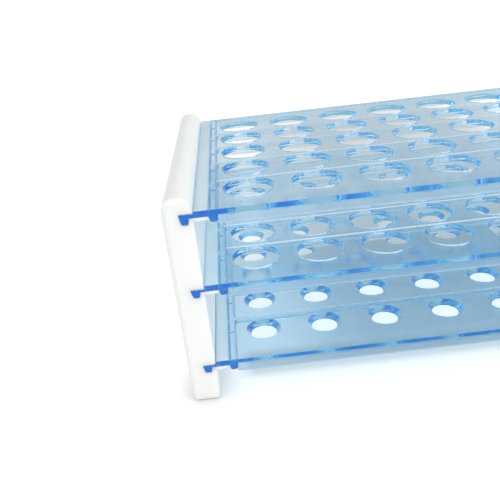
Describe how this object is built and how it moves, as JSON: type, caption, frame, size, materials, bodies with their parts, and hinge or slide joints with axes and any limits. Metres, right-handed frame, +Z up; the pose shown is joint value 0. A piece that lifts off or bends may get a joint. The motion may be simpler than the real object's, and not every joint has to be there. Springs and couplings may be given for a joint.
{
  "type": "test tube rack",
  "caption": "Tiered test tube rack: clear blue shelves with round tube holes above conical seats, slid into white end panels with feet and carrying slots.",
  "frame": {"origin": "on the ground under the centre of the rack, at the level of the feet's soles", "axes": "+X along the rack from the left to the right end panel, +Y from front to back, +Z up"},
  "size_m": [0.2692, 0.122, 0.0797],
  "materials": {
    "white_plastic": "satin white moulded plastic",
    "clear_blue_plastic": "clear, blue-tinted, glossy"
  },
  "bodies": {
    "end_panels": {"left_end_panel": "white_plastic", "right_end_panel": "white_plastic"},
    "top_shelf": {"top_shelf": "clear_blue_plastic"},
    "middle_shelf": {"middle_shelf": "clear_blue_plastic"},
    "bottom_shelf": {"bottom_shelf": "clear_blue_plastic"}
  },
  "joints": [
    {"name": "top_shelf_slide", "type": "slide", "parent": "end_panels", "child": "top_shelf", "axis": [0, -1, 0], "range_m": [-0.125, 0.125]},
    {"name": "middle_shelf_slide", "type": "slide", "parent": "end_panels", "child": "middle_shelf", "axis": [0, -1, 0], "range_m": [-0.125, 0.125]},
    {"name": "bottom_shelf_slide", "type": "slide", "parent": "end_panels", "child": "bottom_shelf", "axis": [0, -1, 0], "range_m": [-0.125, 0.125]}
  ]
}
